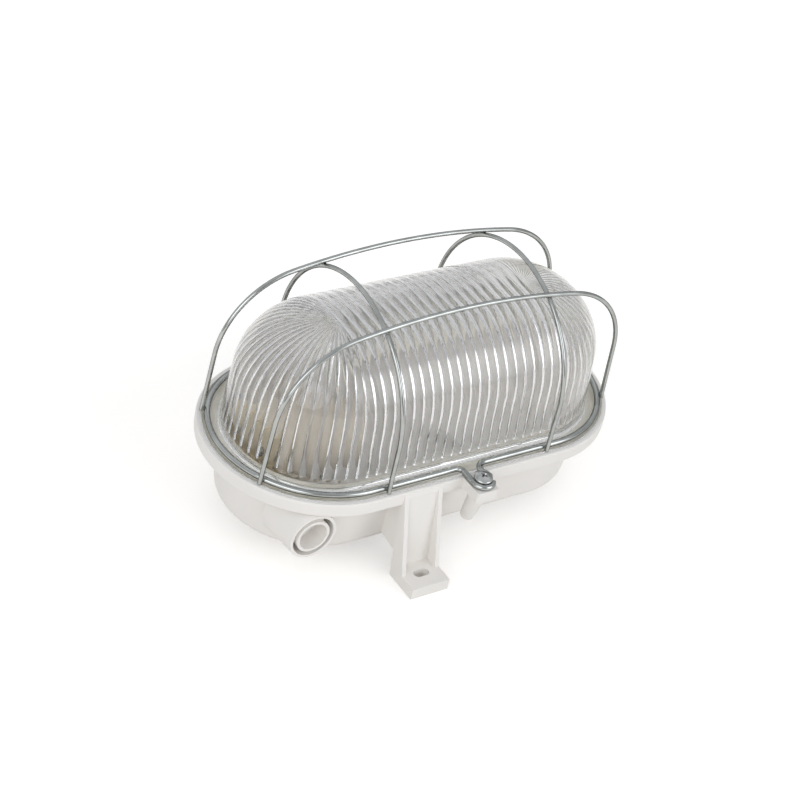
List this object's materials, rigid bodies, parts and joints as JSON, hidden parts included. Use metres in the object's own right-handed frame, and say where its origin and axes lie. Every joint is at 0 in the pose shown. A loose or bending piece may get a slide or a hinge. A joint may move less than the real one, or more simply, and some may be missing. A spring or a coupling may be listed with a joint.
{
  "type": "oval bulkhead light",
  "caption": "Oval bulkhead light: white moulded base on slotted feet, ribbed clear glass cover and a hinged wire guard held shut by a screw.",
  "frame": {"origin": "centre of the mounting plane, on the undersides of the two feet", "axes": "+X along the length away from the cable entry, -Y towards the lock screw, +Z away from the mounting surface"},
  "size_m": [0.25, 0.178, 0.1472],
  "materials": {
    "base_plastic": "moulded, fine matte texture",
    "gasket_rubber": "matte",
    "cover_glass": "clear pressed glass, ribbed inside",
    "zinc_wire": "bright zinc plated",
    "zinc_screw": "bright zinc plated",
    "porcelain": "white glaze",
    "shell_brass": "plain",
    "bracket_steel": "zinc plated sheet",
    "block_plastic": "moulded",
    "lead_brown": "insulation",
    "lead_blue": "insulation"
  },
  "bodies": {
    "base": {"base": "base_plastic", "gasket": "gasket_rubber", "glass": "cover_glass", "lampholder_body": "porcelain", "lampholder_shell": "shell_brass", "lampholder_contact": "shell_brass", "lampholder_bracket": "bracket_steel", "lampholder_screws": "zinc_screw", "bracket_screws": "zinc_screw", "terminal_block": "block_plastic", "terminal_sleeves": "shell_brass", "terminal_screws": "zinc_screw", "block_screw": "zinc_screw", "live_lead": "lead_brown", "neutral_lead": "lead_blue"},
    "guard": {"guard_ring": "zinc_wire", "guard_bow_front": "zinc_wire", "guard_bow_rear": "zinc_wire", "guard_hoop_left": "zinc_wire", "guard_hoop_right": "zinc_wire"},
    "lock_screw": {"guard_screw": "zinc_screw"}
  },
  "joints": [
    {"name": "guard_hinge", "type": "hinge", "parent": "base", "child": "guard", "pos_m": [0, 0.0705, 0.057], "axis": [-1, 0, 0], "range_deg": [0, 100]},
    {"name": "lock_screw_slide", "type": "slide", "parent": "guard", "child": "lock_screw", "axis": [0, 0, 1], "range_m": [0, 0.014]}
  ]
}
